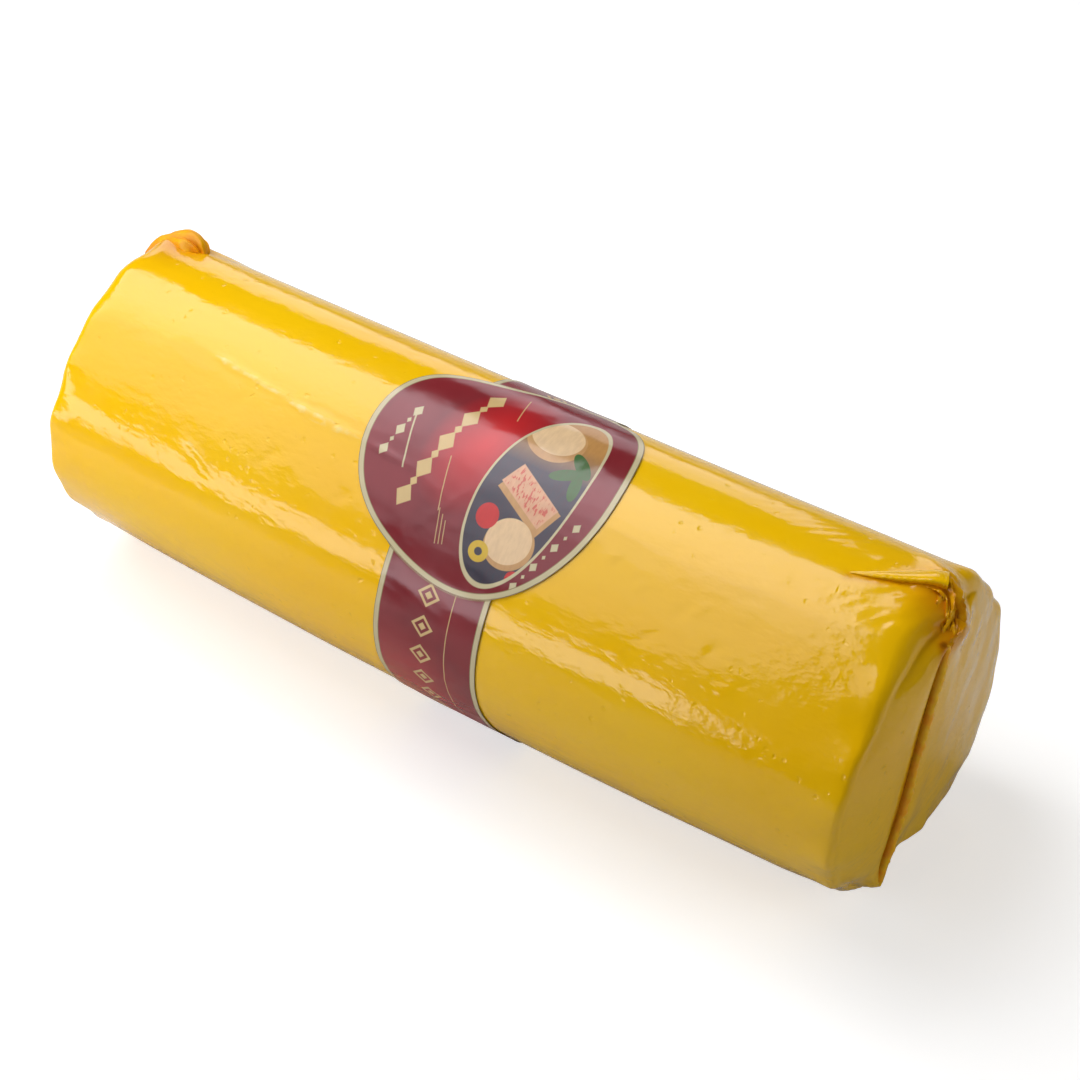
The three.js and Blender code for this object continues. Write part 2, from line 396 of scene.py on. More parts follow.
def endRelief(side, point):  # point on the end's face or rim
    offset = Vector((point.y, point.z)) - Vector(form["nearSeam"] if side > 0 else form["farSeam"])
    across, along = offset.dot(seamAcross), offset.dot(seamUp)
    cheek = smoothStep(across * side, 2, 12)  # the cheek behind the fin is more wrinkled
    value = 0
    for depth, least, width, lean, length, seed in relief["endWaves"]:
        place = Vector((across / width + along * lean, along / length, seed + side))
        value += depth * (least + cheek) * noise.noise(place)
    for height, depth in relief["endFans"]:  # folds that spread from where the film is bunched
        fan = Vector((across - side, along - height))
        turn = math.atan2(fan.x, -fan.y)
        folds = abs(noise.noise(Vector((turn * 4.2, fan.length / 22, height + side))))
        value += depth * (0.35 - 1.6 * folds) * math.exp(-(fan.length / 17) ** 2)
    return value


# the bar

barMesh = {
    "columns": 288,
    "sideRings": 97,  # from the middle to each shoulder
    "shoulder": 152,  # mm from the middle
    "shoulderRings": 7,  # from there to the rim
    "rimRings": 9,
    "faceRings": 22,
    "cuts": (17, 14),  # 18 lengths of 15 rings
}


def makeRings(settings):  # each ring is a kind, a side and a place
    rings = []
    for side in (-1, 1):
        half = []
        edge = settings["shoulder"]
        count = settings["sideRings"]
        for index in range(count + 1):
            if side > 0 and index == 0:
                continue
            half.append(("side", side, edge * index / count))
        for index in range(1, settings["shoulderRings"] + 1):
            half.append(("shoulder", side, index / (settings["shoulderRings"] + 1)))
        for index in range(1, settings["rimRings"] + 1):
            half.append(("rim", side, math.pi / 2 * index / settings["rimRings"]))
        for index in range(1, settings["faceRings"] + 1):
            half.append(("face", side, (1 - index / settings["faceRings"]) ** 1.15))
        rings += half[::-1] if side < 0 else half
    return rings


def barPoint(ring, angle, arc):
    kind, side, place = ring
    outward = Vector((0, math.cos(angle), math.sin(angle)))
    if kind == "side" or kind == "shoulder":
        x = side * place
        if kind == "shoulder":
            start = barMesh["shoulder"]
            end = rimPlace(side) - rimRadius(angle)
            x = side * (start + (end - start) * place)
        point = sidePoint(x, angle, recessHeight(x))
        fade = smoothStep(point.y, 1, 7)
        rise = (sideRelief(x, arc) + ripplesByKnot(x, arc) + knotFan(x, arc)) * fade
        point = gathered(Vector((x, point.x, point.y)))
        return point + outward * rise
    if kind == "rim":
        plain = rimPoint(side, angle, place)
        turn = place / (math.pi / 2)
        rise = (sideRelief(plain.x, arc) + ripplesByKnot(plain.x, arc)) * (1 - turn)
        rise += endRelief(side, plain) * turn + knotFan(plain.x, arc + 12 * turn)
        direction = outward * math.cos(place) + Vector((side * math.sin(place), 0, 0))
        fade = smoothStep(plain.z, 0.3, 6)
    else:
        plain = facePoint(side, angle, place)
        rise = endRelief(side, plain) * smoothStep(place, 0, 0.1)
        direction = Vector((side, 0, 0))
        fade = smoothStep(plain.z, 0.3, 6)
    return gathered(plain) + direction * rise * fade


def makeBar(settings):
    rings = makeRings(settings)
    columns = settings["columns"]
    length = 0.34
    bpy.ops.mesh.primitive_cylinder_add(vertices=columns, radius=0.06, depth=length,
                                        end_fill_type='TRIFAN', rotation=(0, math.pi / 2, 0))
    bar = bpy.context.object
    bar.name = "filmWrappedBar"
    bpy.ops.object.transform_apply(location=True, rotation=True, scale=True)
    bpy.ops.object.mode_set(mode='EDIT')
    bpy.ops.mesh.select_mode(type='EDGE')
    mesh = bar.data
    for cuts in settings["cuts"]:
        bpy.ops.mesh.select_all(action='DESELECT')
        bpy.ops.object.mode_set(mode='OBJECT')
        for edge in mesh.edges:  # only the edges that run the length of the bar
            start, end = (mesh.vertices[index].co for index in edge.vertices)
            edge.select = abs(start.x - end.x) > length / 400
        bpy.ops.object.mode_set(mode='EDIT')
        bpy.ops.mesh.subdivide(number_cuts=cuts)
    bpy.ops.object.mode_set(mode='OBJECT')
    columnArcs = [arcAt(2 * math.pi * column / columns) for column in range(columns)]
    ends = {0: Vector(), len(rings) - 1: Vector()}
    for end in ends:
        for column in range(columns):
            ends[end] += barPoint(rings[end], 2 * math.pi * column / columns, 0) / columns
    creased = mesh.attributes.new("creased", 'FLOAT', 'POINT')
    for vertex in mesh.vertices:
        index = round((vertex.co.x / length + 0.5) * (len(rings) - 1))
        if vertex.co.yz.length < 0.01:
            vertex.co = ends[index] * mm
            continue
        column = round(math.atan2(vertex.co.z, vertex.co.y) / (2 * math.pi) * columns) % columns
        vertex.co = barPoint(rings[index], 2 * math.pi * column / columns, columnArcs[column]) * mm
        kind, side, place = rings[index]
        if kind == "side":
            creased.data[vertex.index].value = creaseHeight(side * place, columnArcs[column])
    bpy.ops.object.shade_smooth()
    return bar


bar = makeBar(barMesh)
print("bar shaped", len(bar.data.polygons))


# printed band with its shield, in mm along the bar and round it

labelShape = {
    "shieldCentre": (11, 20.3),
    "shieldHalf": (48.3, 45),
    "shieldMean": 0.998,
    "shieldLobes": [(0.031, 0.012), (0.013, -0.056), (-0.055, -0.018), (-0.01, 0.016), (0.016, 0.005)],
    "printStart": -60,  # the print's place along the bar
    "printLength": 130,
    "rows": 72,
    "columns": 360,
    "lift": 0.4,
    "thickness": 0.26,
    "crinkle": 0.12,
    "creases": [  # from, to, height, half width
        ((-36, 31.5), (-12, 33), 0.4, 1.3),
        ((-12, 33), (4, 38), 0.25, 2),
        ((-3, 49), (12, 29), 0.22, 1.4),
        ((48, 2), (36, 20), 0.22, 1.6),
        ((-8, 104), (28, 98), 0.22, 1.6),
        ((-9, 122), (30, 117), 0.25, 1.4),
        ((-6, 131), (30, 127), 0.3, 1.2),
        ((-9, -60), (30, -66), 0.25, 1.5),
    ],
}


def makeOutline(settings, steps=720):  # the shield's uneven oval as x and arc
    outline = []
    for step in range(steps + 1):
        turn = 2 * math.pi * step / steps
        reach = settings["shieldMean"]
        for index, (cosine, sine) in enumerate(settings["shieldLobes"]):
            reach += cosine * math.cos((index + 1) * turn) + sine * math.sin((index + 1) * turn)
        outline.append((settings["shieldCentre"][0] + settings["shieldHalf"][0] * reach * math.cos(turn),
                        settings["shieldCentre"][1] + settings["shieldHalf"][1] * reach * math.sin(turn)))
    return outline


shieldOutline = makeOutline(labelShape)


def labelEdges(arc):
    places = [form["band"][0], form["band"][1]]
    for before, after in zip(shieldOutline, shieldOutline[1:]):
        if (before[1] - arc) * (after[1] - arc) < 0:
            share = (arc - before[1]) / (after[1] - before[1])
            places.append(before[0] + (after[0] - before[0]) * share)
    return min(places), max(places)


def labelRelief(x, arc):
    value = sideRelief(x, arc)
    value += labelShape["crinkle"] * (0.5 + noise.noise(Vector((x / 9, arc / 6, 21))))
    for start, end, height, halfWidth in labelShape["creases"]:
        gap, held = nearest(Vector((x, arc)), start, end)
        if gap < 4 * halfWidth:
            rise = height * math.sin(math.pi * (0.06 + 0.88 * held))  # it fades towards its ends
            value += rise * math.exp(-(gap / halfWidth) ** 2)
    return value


def labelPoint(x, arc):
    angle = angleAt(arc)
    reach = math.radians(1.5)
    before = sidePoint(x, angle - reach, form["recess"])
    after = sidePoint(x, angle + reach, form["recess"])
    tangent = (after - before).normalized()
    plain = sidePoint(x, angle, form["recess"])
    rise = labelShape["lift"] + labelRelief(x, arc) * smoothStep(plain.y, 1, 7)
    plain += Vector((tangent.y, -tangent.x)) * rise
    return bowed(Vector((x, plain.x, plain.y)))


def makeGrid(name, rows, columns):
    bpy.ops.mesh.primitive_grid_add(x_subdivisions=rows, y_subdivisions=columns, size=2)
    grid = bpy.context.object
    grid.name = name
    return grid


def thicken(sheet, thickness, offset, sharpAngle):
    bpy.ops.object.mode_set(mode='EDIT')
    bpy.ops.mesh.select_all(action='SELECT')
    bpy.ops.mesh.normals_make_consistent(inside=False)
    bpy.ops.object.mode_set(mode='OBJECT')
    wall = sheet.modifiers.new("wall", 'SOLIDIFY')
    wall.thickness = thickness * mm
    wall.offset = offset
    bpy.ops.object.modifier_apply(modifier="wall")
    bpy.ops.object.shade_smooth_by_angle(angle=math.radians(sharpAngle))


def makeLabel(settings):
    label = makeGrid("printedBand", settings["rows"], settings["columns"])
    mesh = label.data
    flat = []
    edges = {}
    for vertex in mesh.vertices:
        arc = round(vertex.co.y * girth / 2, 3)
        if arc not in edges:
            edges[arc] = labelEdges(arc)
        start, end = edges[arc]
        x = start + (end - start) * (vertex.co.x + 1) / 2
        flat.append((x, arc))
    for loop in mesh.loops:  # the print follows the flat sheet
        x, arc = flat[loop.vertex_index]
        across = (x - settings["printStart"]) / settings["printLength"]
        mesh.uv_layers.active.data[loop.index].uv = (across, arc / girth + 0.5)
    for vertex in mesh.vertices:
        vertex.co = labelPoint(*flat[vertex.index]) * mm
    bpy.ops.object.mode_set(mode='EDIT')
    bpy.ops.mesh.select_all(action='SELECT')
    bpy.ops.mesh.remove_doubles(threshold=0.02 * mm)  # joins the belt's two ends
    bpy.ops.object.mode_set(mode='OBJECT')
    thicken(label, settings["thickness"], -1, 50)
    return label


label = makeLabel(labelShape)
print("label shaped", len(label.data.polygons))


# folded film: the fins of the seams and the pleat before the near knot

def pathPlace(points, share):  # smooth line through the points
    spot = min(max(share, 0), 0.99999) * (len(points) - 1)
    index = int(spot)
    part = spot - index
    places = [Vector(points[min(max(index + step, 0), len(points) - 1)]) for step in (-1, 0, 1, 2)]
    a, b, c, d = places
    return 0.5 * (2 * b + (c - a) * part + (2 * a - 5 * b + 4 * c - d) * part ** 2
                  + (3 * b - a - 3 * c + d) * part ** 3)


def seamPath(side, count=9, foot=0):
    top = facePoint(side, math.pi / 2, 0)
    bottom = facePoint(side, 3 * math.pi / 2, 0)
    path = [bowed(top.lerp(bottom, index / (count - 1))) for index in range(count)]
    if foot:  # and on down to the rim
        last = path[-1]
        path.append(last + Vector((0, (last.y - path[-2].y) * 0.5, (last.z - path[-2].z) * 0.5)) * foot)
    return path


seamFin = {  # what both fins share
    "profile": [(-0.7, -1), (-0.8, 0.9), (-0.4, 1.8), (0.4, 2.2), (1.2, 2.1), (1.9, 1.6), (2.4, 0.8),
                (2.6, -0.1)],
    "crimp": 0.6,
    "waves": 54,
    "length": 260,
    "across": 18,
}

nearFin = {
    **seamFin,
    "name": "nearSeamFin",
    "path": seamPath(1, 9, 1.1),
    "outward": (1, 0, 0),
    "size": [0.8, 1.1, 0.95, 1, 0.85, 1, 0.95, 1.05, 1, 0.9],  # along the path
    "seed": 3,
}

farFin = {
    **seamFin,
    "name": "farSeamFin",
    "path": seamPath(-1, 9, 1.1),
    "outward": (-1, 0, 0),
    "size": [1, 0.9, 1.05, 1, 0.9, 0.95, 1.1, 1, 1, 0.9],
    "seed": 8,
}


def topPath(places, lift):  # a path over the bar's top, from places as x and y before bowing
    rimStart, turnRate = 158, 6  # the path turns over the rim by this many degrees per mm
    path = []
    for x, y in places:
        angle = math.pi / 2 - y / form["radius"]
        if x <= rimStart:
            spot = sidePoint(x, angle)
            path.append(gathered(Vector((x, spot.x, spot.y + lift))))
        else:
            turn = math.radians(min(90, (x - rimStart) * turnRate))
            path.append(gathered(rimPoint(1, angle, turn)) + Vector((0, 0, lift)))
    return path


nearPleat = {
    "name": "topPleat",
    "path": topPath([(138, -5.4), (144, -3.9), (150, -2.1), (156, 0), (161, 1.8), (165, 3)], 0.1),
    "outward": (0, 0, 1),
    "profile": [(5, -0.8), (3.6, 0.1), (2, 0.8), (0.7, 1.25), (-0.6, 1.35), (-1.1, 0.95), (-0.8, 0.3),
                (-0.4, -0.8)],
    "size": [0.1, 0.55, 0.85, 1.1, 1.4, 1.6],
    "crimp": 0.14,
    "waves": 30,
    "length": 110,
    "across": 26,
    "seed": 5,
}


def makeFold(settings):
    fold = makeGrid(settings["name"], settings["length"], settings["across"])
    outward = Vector(settings["outward"])
    profile = [Vector((across, out, 0)) for across, out in settings["profile"]]
    for vertex in fold.data.vertices:
        share = (vertex.co.x + 1) / 2
        turn = (vertex.co.y + 1) / 2
        place = pathPlace(settings["path"], share)
        ahead = pathPlace(settings["path"], share + 0.01) - pathPlace(settings["path"], share - 0.01)
        across = ahead.cross(outward).normalized()
        size = pathPlace([(value, 0, 0) for value in settings["size"]], share).x
        spot = pathPlace(profile, turn) * size
        run, seed = share * settings["waves"], settings["seed"]
        crimp = noise.noise(Vector((run, turn * 1.2, seed)))
        crimp += 0.5 * noise.noise(Vector((run * 2.6, turn * 2, seed)))
        spot.x += settings["crimp"] * turn * (crimp + noise.noise(Vector((run * 0.4, 0, seed))))
        spot.y += settings["crimp"] * (0.3 + turn) * crimp
        vertex.co = (place - across * spot.x + outward * spot.y) * mm
    thicken(fold, 0.35, 0, 55)
    return fold


folds = [makeFold(settings) for settings in (nearFin, farFin, nearPleat)]
print("fins and pleat folded")


# bunched film where a seam runs out over the top, and the tabs at its foot

bunches = [
    {
        "name": "nearKnot",
        "path": [(157, 2.6, 116.8), (162.5, 4, 118), (167, 3.8, 116.5), (170.2, 1.6, 112),
                 (171.8, -1.6, 107), (172, -4.4, 101.5)],
        "radii": [1, 4.4, 5, 4.6, 3.6, 1.2],
        "flat": (1.05, 0.9),
        "ridges": 1.15,
        "fine": 0.65,
        "seed": 4,
    },
    {
        "name": "farEar",
        "path": [(-175, 12, 95), (-172.5, 15, 103.5), (-165.5, 17.5, 109.6), (-155, 17.6, 112.2),
                 (-149, 16.6, 110.8), (-143.5, 15.5, 109.6)],
        "radii": [0.8, 4.6, 6.4, 7.8, 3.8, 0.8],
        "flat": (0.7, 1.05),
        "ridges": 0.55,
        "fine": 0.12,
        "seed": 9,
    },
    {
        "name": "farTab",
        "path": [(-171, -3.5, 16), (-172, -4.5, 11), (-172.5, -5.5, 7), (-172.5, -6.5, 4)],
        "radii": [0.8, 1.6, 2, 1.2],
        "flat": (1.2, 0.7),
        "ridges": 1,
        "fine": 0.4,
        "seed": 7,
    },
]


def makeBunch(settings):
    rings, sides = 70, 72
    bpy.ops.mesh.primitive_uv_sphere_add(segments=sides, ring_count=rings, radius=1)
    bunch = bpy.context.object
    bunch.name = settings["name"]
    radii = [(value, 0, 0) for value in settings["radii"]]
    for vertex in bunch.data.vertices:
        polar = math.acos(min(max(vertex.co.z, -1), 1))
        share = polar / math.pi
        turn = math.atan2(vertex.co.y, vertex.co.x)
        place = pathPlace(settings["path"], share)
        ahead = pathPlace(settings["path"], share + 0.02) - pathPlace(settings["path"], share - 0.02)
        ahead.normalize()
        across = ahead.cross(Vector((0, 0, 1) if abs(ahead.z) < 0.9 else (1, 0, 0))).normalized()
        up = across.cross(ahead)
        radius = pathPlace(radii, share).x * min(1, 3.2 * math.sin(polar))
        around = Vector((math.cos(turn), math.sin(turn)))
        seed = settings["seed"]
        broad = Vector((around.x * 2.1, around.y * 2.1 + share * 1.3, seed + share * 2.5))
        fine = Vector((around.x * 4.3, around.y * 4.3, seed + share * 7))
        ridge = abs(noise.noise(broad)) + settings["fine"] * abs(noise.noise(fine))
        radius *= 1.18 - settings["ridges"] * ridge
        offset = across * around.x * settings["flat"][0] + up * around.y * settings["flat"][1]
        vertex.co = (place + offset * radius) * mm
    bpy.ops.object.shade_smooth_by_angle(angle=math.radians(38))
    return bunch


bunched = [makeBunch(settings) for settings in bunches]
print("knots bunched")


# materials

def setSocket(tree, socket, value):
    if isinstance(value, bpy.types.NodeSocket):
        tree.links.new(value, socket)
    else:
        socket.default_value = value


def addNode(tree, kind, sockets=None, **options):  # sockets by name or index
    made = tree.nodes.new(kind)
    for name, value in options.items():
        setattr(made, name, value)
    for name, value in (sockets or {}).items():
        setSocket(tree, made.inputs[name], value)
    return made


def maths(tree, operation, first, second=0, clamp=False):
    made = addNode(tree, "ShaderNodeMath", {0: first}, operation=operation, use_clamp=clamp)
    if operation not in ('SQRT', 'ABSOLUTE', 'FRACT', 'SINE', 'COSINE'):
        setSocket(tree, made.inputs[1], second)
    return made.outputs[0]


def blend(tree, share, under, over):
    made = addNode(tree, "ShaderNodeMix", data_type='RGBA')
    setSocket(tree, made.inputs["Factor"], share)
    setSocket(tree, made.inputs[6], under)
    setSocket(tree, made.inputs[7], over)
    return made.outputs[2]


def remap(tree, value, fromLow, fromHigh, toLow, toHigh):
    made = addNode(tree, "ShaderNodeMapRange", {"Value": value, "From Min": fromLow, "From Max": fromHigh,
                                                "To Min": toLow, "To Max": toHigh})
    return made.outputs[0]


def noiseAt(tree, place, scale, detail=3, stretch=(1, 1, 1)):
    mapping = addNode(tree, "ShaderNodeMapping", {"Vector": place, "Scale": stretch})
    made = addNode(tree, "ShaderNodeTexNoise", {"Vector": mapping.outputs[0], "Scale": scale,
                                                "Detail": detail})
    return made.outputs["Fac"]


def colour(red, green, blue):  # from 0 to 255, as a picture shows it
    parts = [part / 255 for part in (red, green, blue)]
    return [part / 12.92 if part < 0.04045 else ((part + 0.055) / 1.055) ** 2.4 for part in parts] + [1]


def newMaterial(name):
    material = bpy.data.materials.new(name)
    material.use_nodes = True
    return material, material.node_tree, material.node_tree.nodes["Principled BSDF"]


filmFinish = {
    "yellow": colour(255, 196, 0),
    "paleYellow": colour(255, 203, 7),
    "amber": colour(214, 128, 0),
    # painted shade: dark amber for the seams and under the pleat
    "paintedShadeAmber": colour(110, 56, 0),
    # painted highlight for the raised creases
    "paintedCreaseHighlight": colour(255, 232, 150),
    "roughness": (0.07, 0.13),
    "pebble": 0.00042,  # metres
    "pock": 0.0002,
}


def filmMaterial(settings):
    material, tree, shader = newMaterial("yellowFilm")
    place = addNode(tree, "ShaderNodeTexCoord").outputs["Object"]
    clouds = noiseAt(tree, place, 16, 2, (0.5, 1, 1))
    shade = blend(tree, remap(tree, clouds, 0.35, 0.65, 0, 1), settings["yellow"], settings["paleYellow"])
    # amber tint where the film is layered; the deepest marks add a painted shade of dark amber
    foldTintAndShade = addNode(tree, "ShaderNodeAttribute", attribute_name="foldTintAndShade").outputs["Fac"]
    shade = blend(tree, maths(tree, 'MULTIPLY', foldTintAndShade, 1.6, True), shade, settings["amber"])
    # painted shade in the seams and under the pleat
    paintedShadeShare = remap(tree, foldTintAndShade, 0.55, 1, 0, 1)
    shade = blend(tree, paintedShadeShare, shade, settings["paintedShadeAmber"])
    # painted highlight: pale cream along the raised creases, mottled by noise
    creased = addNode(tree, "ShaderNodeAttribute", attribute_name="creased").outputs["Fac"]
    paintedCreaseHighlight = maths(tree, 'MULTIPLY', remap(tree, creased, 0.2, 0.5, 0, 0.75),
                 remap(tree, noiseAt(tree, place, 240, 3), 0.4, 0.6, 0.2, 1))
    shade = blend(tree, paintedCreaseHighlight, shade, settings["paintedCreaseHighlight"])
    setSocket(tree, shader.inputs["Base Color"], shade)
    scuffs = noiseAt(tree, place, 60, 4)
    low, high = settings["roughness"]
    setSocket(tree, shader.inputs["Roughness"], remap(tree, scuffs, 0.3, 0.7, low, high))
    rough = remap(tree, noiseAt(tree, place, 38, 2, (0.6, 1, 1)), 0.38, 0.64, 0.35, 1)  # in patches
    pebbles = maths(tree, 'MULTIPLY', noiseAt(tree, place, 300, 3, (0.6, 1, 1)), rough)
    shift = addNode(tree, "ShaderNodeTexNoise", {"Vector": place, "Scale": 380})
    strayed = addNode(tree, "ShaderNodeVectorMath",
                      {0: shift.outputs["Color"], 1: (0.003, 0.003, 0.003), 2: place},
                      operation='MULTIPLY_ADD')
    cells = addNode(tree, "ShaderNodeTexVoronoi", {"Vector": strayed.outputs[0], "Scale": 300})
    draw = addNode(tree, "ShaderNodeSeparateXYZ", {0: cells.outputs["Color"]}).outputs[0]
    chosen = remap(tree, draw, 0.79, 0.83, 0, 1)  # one cell in five has a pock
    pocks = maths(tree, 'MULTIPLY', remap(tree, cells.outputs["Distance"], 0.08, 0.3, 1, 0), chosen)
    pocks = maths(tree, 'MULTIPLY', pocks, remap(tree, noiseAt(tree, place, 26, 2), 0.46, 0.56, 0, 1))
    dented = addNode(tree, "ShaderNodeBump",
                     {"Strength": 0.8, "Distance": settings["pock"], "Height": pocks}, invert=True)
    bump = addNode(tree, "ShaderNodeBump", {"Strength": 0.6, "Distance": settings["pebble"],
                                            "Height": pebbles, "Normal": dented.outputs[0]})
    setSocket(tree, shader.inputs["Normal"], bump.outputs[0])
    shader.inputs["IOR"].default_value = 1.5
    return material


# the third colour in each fold finish is painted shade for the hollows
foldFinish = {
    "amber": colour(222, 148, 6),
    "bright": colour(246, 184, 14),
    "paintedCreaseShade": colour(168, 92, 0),
    "roughness": 0.22,
}

earFinish = {
    "amber": colour(240, 162, 0),
    "bright": colour(248, 180, 0),
    "paintedCreaseShade": colour(224, 138, 0),
    "roughness": 0.4,
}

finFinish = {
    "amber": colour(255, 174, 0),
    "bright": colour(255, 196, 8),
    "paintedCreaseShade": colour(206, 118, 0),
    "roughness": 0.46,
}


def foldMaterial(settings, name):
    material, tree, shader = newMaterial(name)
    place = addNode(tree, "ShaderNodeTexCoord").outputs["Object"]
    clouds = noiseAt(tree, place, 180, 2)
    shade = blend(tree, remap(tree, clouds, 0.4, 0.62, 0, 1), settings["amber"], settings["bright"])
    # painted shade: the folds' hollows are darkened where pointiness is low
    edges = addNode(tree, "ShaderNodeNewGeometry").outputs["Pointiness"]
    shade = blend(tree, remap(tree, edges, 0.5, 0.44, 0, 0.85), shade, settings["paintedCreaseShade"])
    setSocket(tree, shader.inputs["Base Color"], shade)
    shader.inputs["Roughness"].default_value = settings["roughness"]
    shader.inputs["Specular IOR Level"].default_value = 0.3
    crinkle = noiseAt(tree, place, 420, 3)
    bump = addNode(tree, "ShaderNodeBump", {"Strength": 0.7, "Distance": 0.0003, "Height": crinkle})
    setSocket(tree, shader.inputs["Normal"], bump.outputs[0])
    return material


# the print: a maroon shield and band with borders, rules, lozenges and a still life of plain shapes

printColours = {
    "maroon": colour(136, 41, 47),
    "wine": colour(108, 27, 34),
    "glow": colour(212, 34, 36),
    "cream": colour(206, 194, 154),
    "outline": colour(140, 120, 80),
    "gold": colour(214, 184, 126),
    "charcoal": colour(58, 60, 72),
    "wood": colour(196, 146, 84),
    "cheese": colour(240, 206, 160),
    "rind": colour(206, 158, 100),
    "paste": colour(228, 176, 138),
    "red": colour(206, 44, 40),
    "green": colour(58, 104, 48),
    "yellow": colour(222, 184, 44),
}


def printMaterial(settings):
    material, tree, shader = newMaterial("glossyPrint")
    place = addNode(tree, "ShaderNodeUVMap").outputs[0]
    parts = addNode(tree, "ShaderNodeSeparateXYZ", {0: place})
    start, length = labelShape["printStart"], labelShape["printLength"]
    x = remap(tree, parts.outputs[0], 0, 1, start, start + length)  # mm along the bar
    arc = remap(tree, parts.outputs[1], 0, 1, -girth / 2, girth / 2)  # mm round it
    for value in (x, arc):
        value.node.clamp = False

    def plus(first, second):
        return maths(tree, 'ADD', first, second)

    def minus(first, second):
        return maths(tree, 'SUBTRACT', first, second)

    def times(first, second):
        return maths(tree, 'MULTIPLY', first, second)

    def per(first, second):
        return maths(tree, 'DIVIDE', first, second)

    def unsigned(value):
        return maths(tree, 'ABSOLUTE', value)

    def inside(distance, edge=0.12):  # 1 where the distance is under 0
        return remap(tree, distance, -edge, edge, 1, 0)

    def paint(mask, name):  # the shade so far, with a colour over it
        return blend(tree, mask, shade, settings[name])

    def offset(centre, turn):  # coordinates about a centre, turned by degrees
        cos, sin = math.cos(math.radians(turn)), math.sin(math.radians(turn))
        a, b = minus(x, centre[0]), minus(arc, centre[1])
        return plus(times(a, cos), times(b, sin)), minus(times(b, cos), times(a, sin))

    def pastOval(u, v, halves, reach):  # distance from an oval whose halves are u and v
        span = maths(tree, 'SQRT', plus(times(u, u), times(v, v)))
        return times(minus(span, reach), (halves[0] * halves[1]) ** 0.5)

    def oval(centre, halves, turn=0):  # distance from an ellipse, below 0 inside
        u, v = offset(centre, turn)
        return pastOval(per(u, halves[0]), per(v, halves[1]), halves, 1)

    def unevenOval(centre, halves, mean, lobes):  # the shield's outline
        u = per(minus(x, centre[0]), halves[0])
        v = per(minus(arc, centre[1]), halves[1])
        turn = maths(tree, 'ARCTAN2', v, u)
        reach = mean
        for index, (cosine, sine) in enumerate(lobes):
            phase = minus(times(turn, index + 1), math.atan2(sine, cosine))
            reach = plus(reach, times(maths(tree, 'COSINE', phase), math.hypot(cosine, sine)))
        return pastOval(u, v, halves, reach)

    def slab(centre, halves, turn=0):  # distance from a rectangle
        u, v = offset(centre, turn)
        return maths(tree, 'MAXIMUM', minus(unsigned(u), halves[0]), minus(unsigned(v), halves[1]))

    def lozenge(centre, halves, turn=0):
        u, v = offset(centre, turn)
        span = plus(per(unsigned(u), halves[0]), per(unsigned(v), halves[1]))
        return times(minus(span, 1), min(halves) * 0.8)

    def chain(start, end, count, halves):  # lozenges in a row between two places, every other one small
        lean = math.degrees(math.atan2(end[1] - start[1], end[0] - start[0])) + 90
        row = None
        for index in range(count):
            share = (index + 0.5) / count
            centre = (start[0] + (end[0] - start[0]) * share, start[1] + (end[1] - start[1]) * share)
            size = halves if index % 2 == 0 else (halves[0] * 0.45, halves[1] * 0.45)
            mark = lozenge(centre, size, lean)
            row = mark if row is None else maths(tree, 'MINIMUM', row, mark)
        return inside(row)

    shield = unevenOval(labelShape["shieldCentre"], labelShape["shieldHalf"],
                        labelShape["shieldMean"], labelShape["shieldLobes"])
    onShield = inside(shield)
    offShield = minus(1, onShield)
    bandDepth = maths(tree, 'MINIMUM', minus(x, form["band"][0]), minus(form["band"][1], x))
    depth = addNode(tree, "ShaderNodeMix", {"Factor": onShield, 2: bandDepth, 3: times(shield, -1)},
                    data_type='FLOAT').outputs[0]

    # fields
    objectPlace = addNode(tree, "ShaderNodeTexCoord").outputs["Object"]
    mottle = noiseAt(tree, objectPlace, 45, 3)
    shade = settings["maroon"]
    shade = paint(remap(tree, mottle, 0.35, 0.7, 0, 0.6), "wine")
    shade = paint(times(remap(tree, oval((7, 14), (13, 19), 20), -14, 9, 1, 0), onShield), "glow")
    shade = paint(remap(tree, oval((2, 128), (22, 30)), -14, 14, 0.5, 0), "glow")  # on the band below

    # the still life in its oval
    pane = oval((29.5, 24), (16.5, 35), 9)
    picture = blend(tree, remap(tree, arc, 2, 16, 0, 1), settings["wood"], settings["charcoal"])
    layers = [
        (oval((27, 3), (11, 9), 10), "rind"),
        (oval((26.5, 1.5), (10, 7.5), 10), "cheese"),
        (oval((41, 9), (6, 2.3), 40), "green"),
        (oval((38, 14), (6, 2.2), -25), "green"),
        (oval((43, 17), (5, 2.1), 80), "green"),
        (slab((31, 27), (11.5, 5.6), 28), "rind"),
        (slab((30.4, 25.4), (11, 4.6), 28), "paste"),
        (oval((31, 43), (9.4, 8.6), -20), "rind"),
        (oval((30.4, 42), (8.6, 7.8), -20), "cheese"),
        (oval((19.5, 37), (4.2, 4.4)), "red"),
        (oval((21.5, 49), (3.8, 3.6)), "yellow"),
        (oval((21.5, 49), (1.5, 1.4)), "charcoal"),
        (oval((37, 53), (3, 2.8)), "red"),
    ]
    for distance, name in layers:
        picture = blend(tree, inside(distance), picture, settings[name])
    speckle = remap(tree, noiseAt(tree, place, 150, 2), 0.52, 0.6, 0, 0.75)
    speckled = times(inside(slab((30.4, 25.4), (10, 3.8), 28), 0.6), speckle)
    picture = blend(tree, speckled, picture, settings["red"])
    crumb = remap(tree, noiseAt(tree, place, 90, 4), 0.3, 0.75, 0, 0.16)
    picture = blend(tree, crumb, picture, settings["wine"])
    shade = blend(tree, times(inside(pane), onShield), shade, picture)
    ring = minus(unsigned(minus(pane, 0.5)), 0.6)
    shade = paint(times(inside(ring), onShield), "cream")

